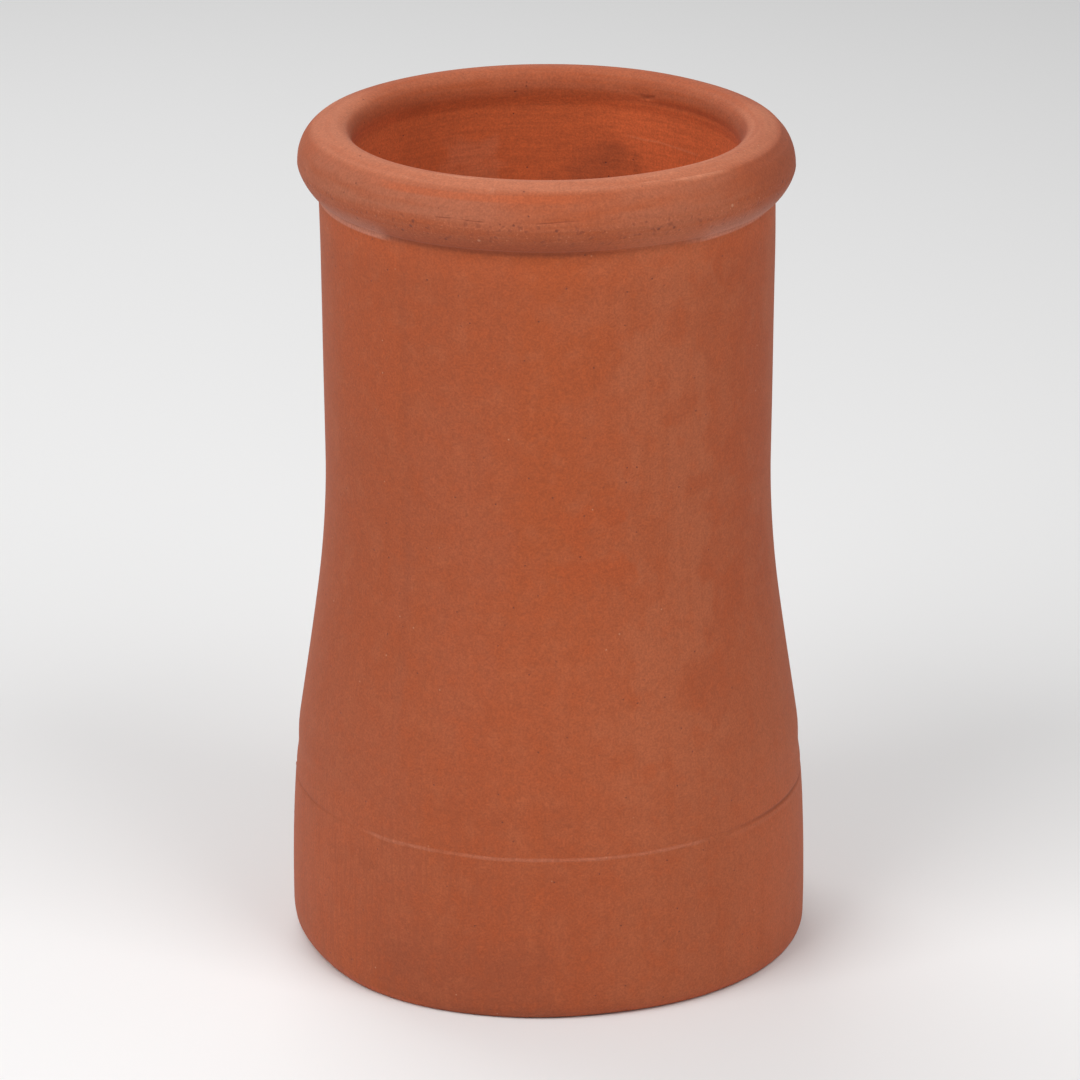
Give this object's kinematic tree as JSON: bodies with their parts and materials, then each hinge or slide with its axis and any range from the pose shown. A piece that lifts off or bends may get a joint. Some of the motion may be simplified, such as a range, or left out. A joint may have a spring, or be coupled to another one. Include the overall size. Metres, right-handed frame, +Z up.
{
  "type": "chimney pot",
  "caption": "Round roll-topped chimney pot in unglazed red clay: straight barrel, flared foot and an open flue way right through.",
  "frame": {"origin": "middle of the seat, on the pot's own axis", "axes": "+Z up along the pot's axis, from the seat to the crest of the roll; the pot is round, so X and Y are free"},
  "size_m": [0.2774, 0.2774, 0.45],
  "materials": {
    "fired_clay": "matt unglazed red clay, faintly streaked and sandy, with a dull pale bloom"
  },
  "bodies": {
    "root": {"chimney_pot": "fired_clay"}
  },
  "joints": []
}
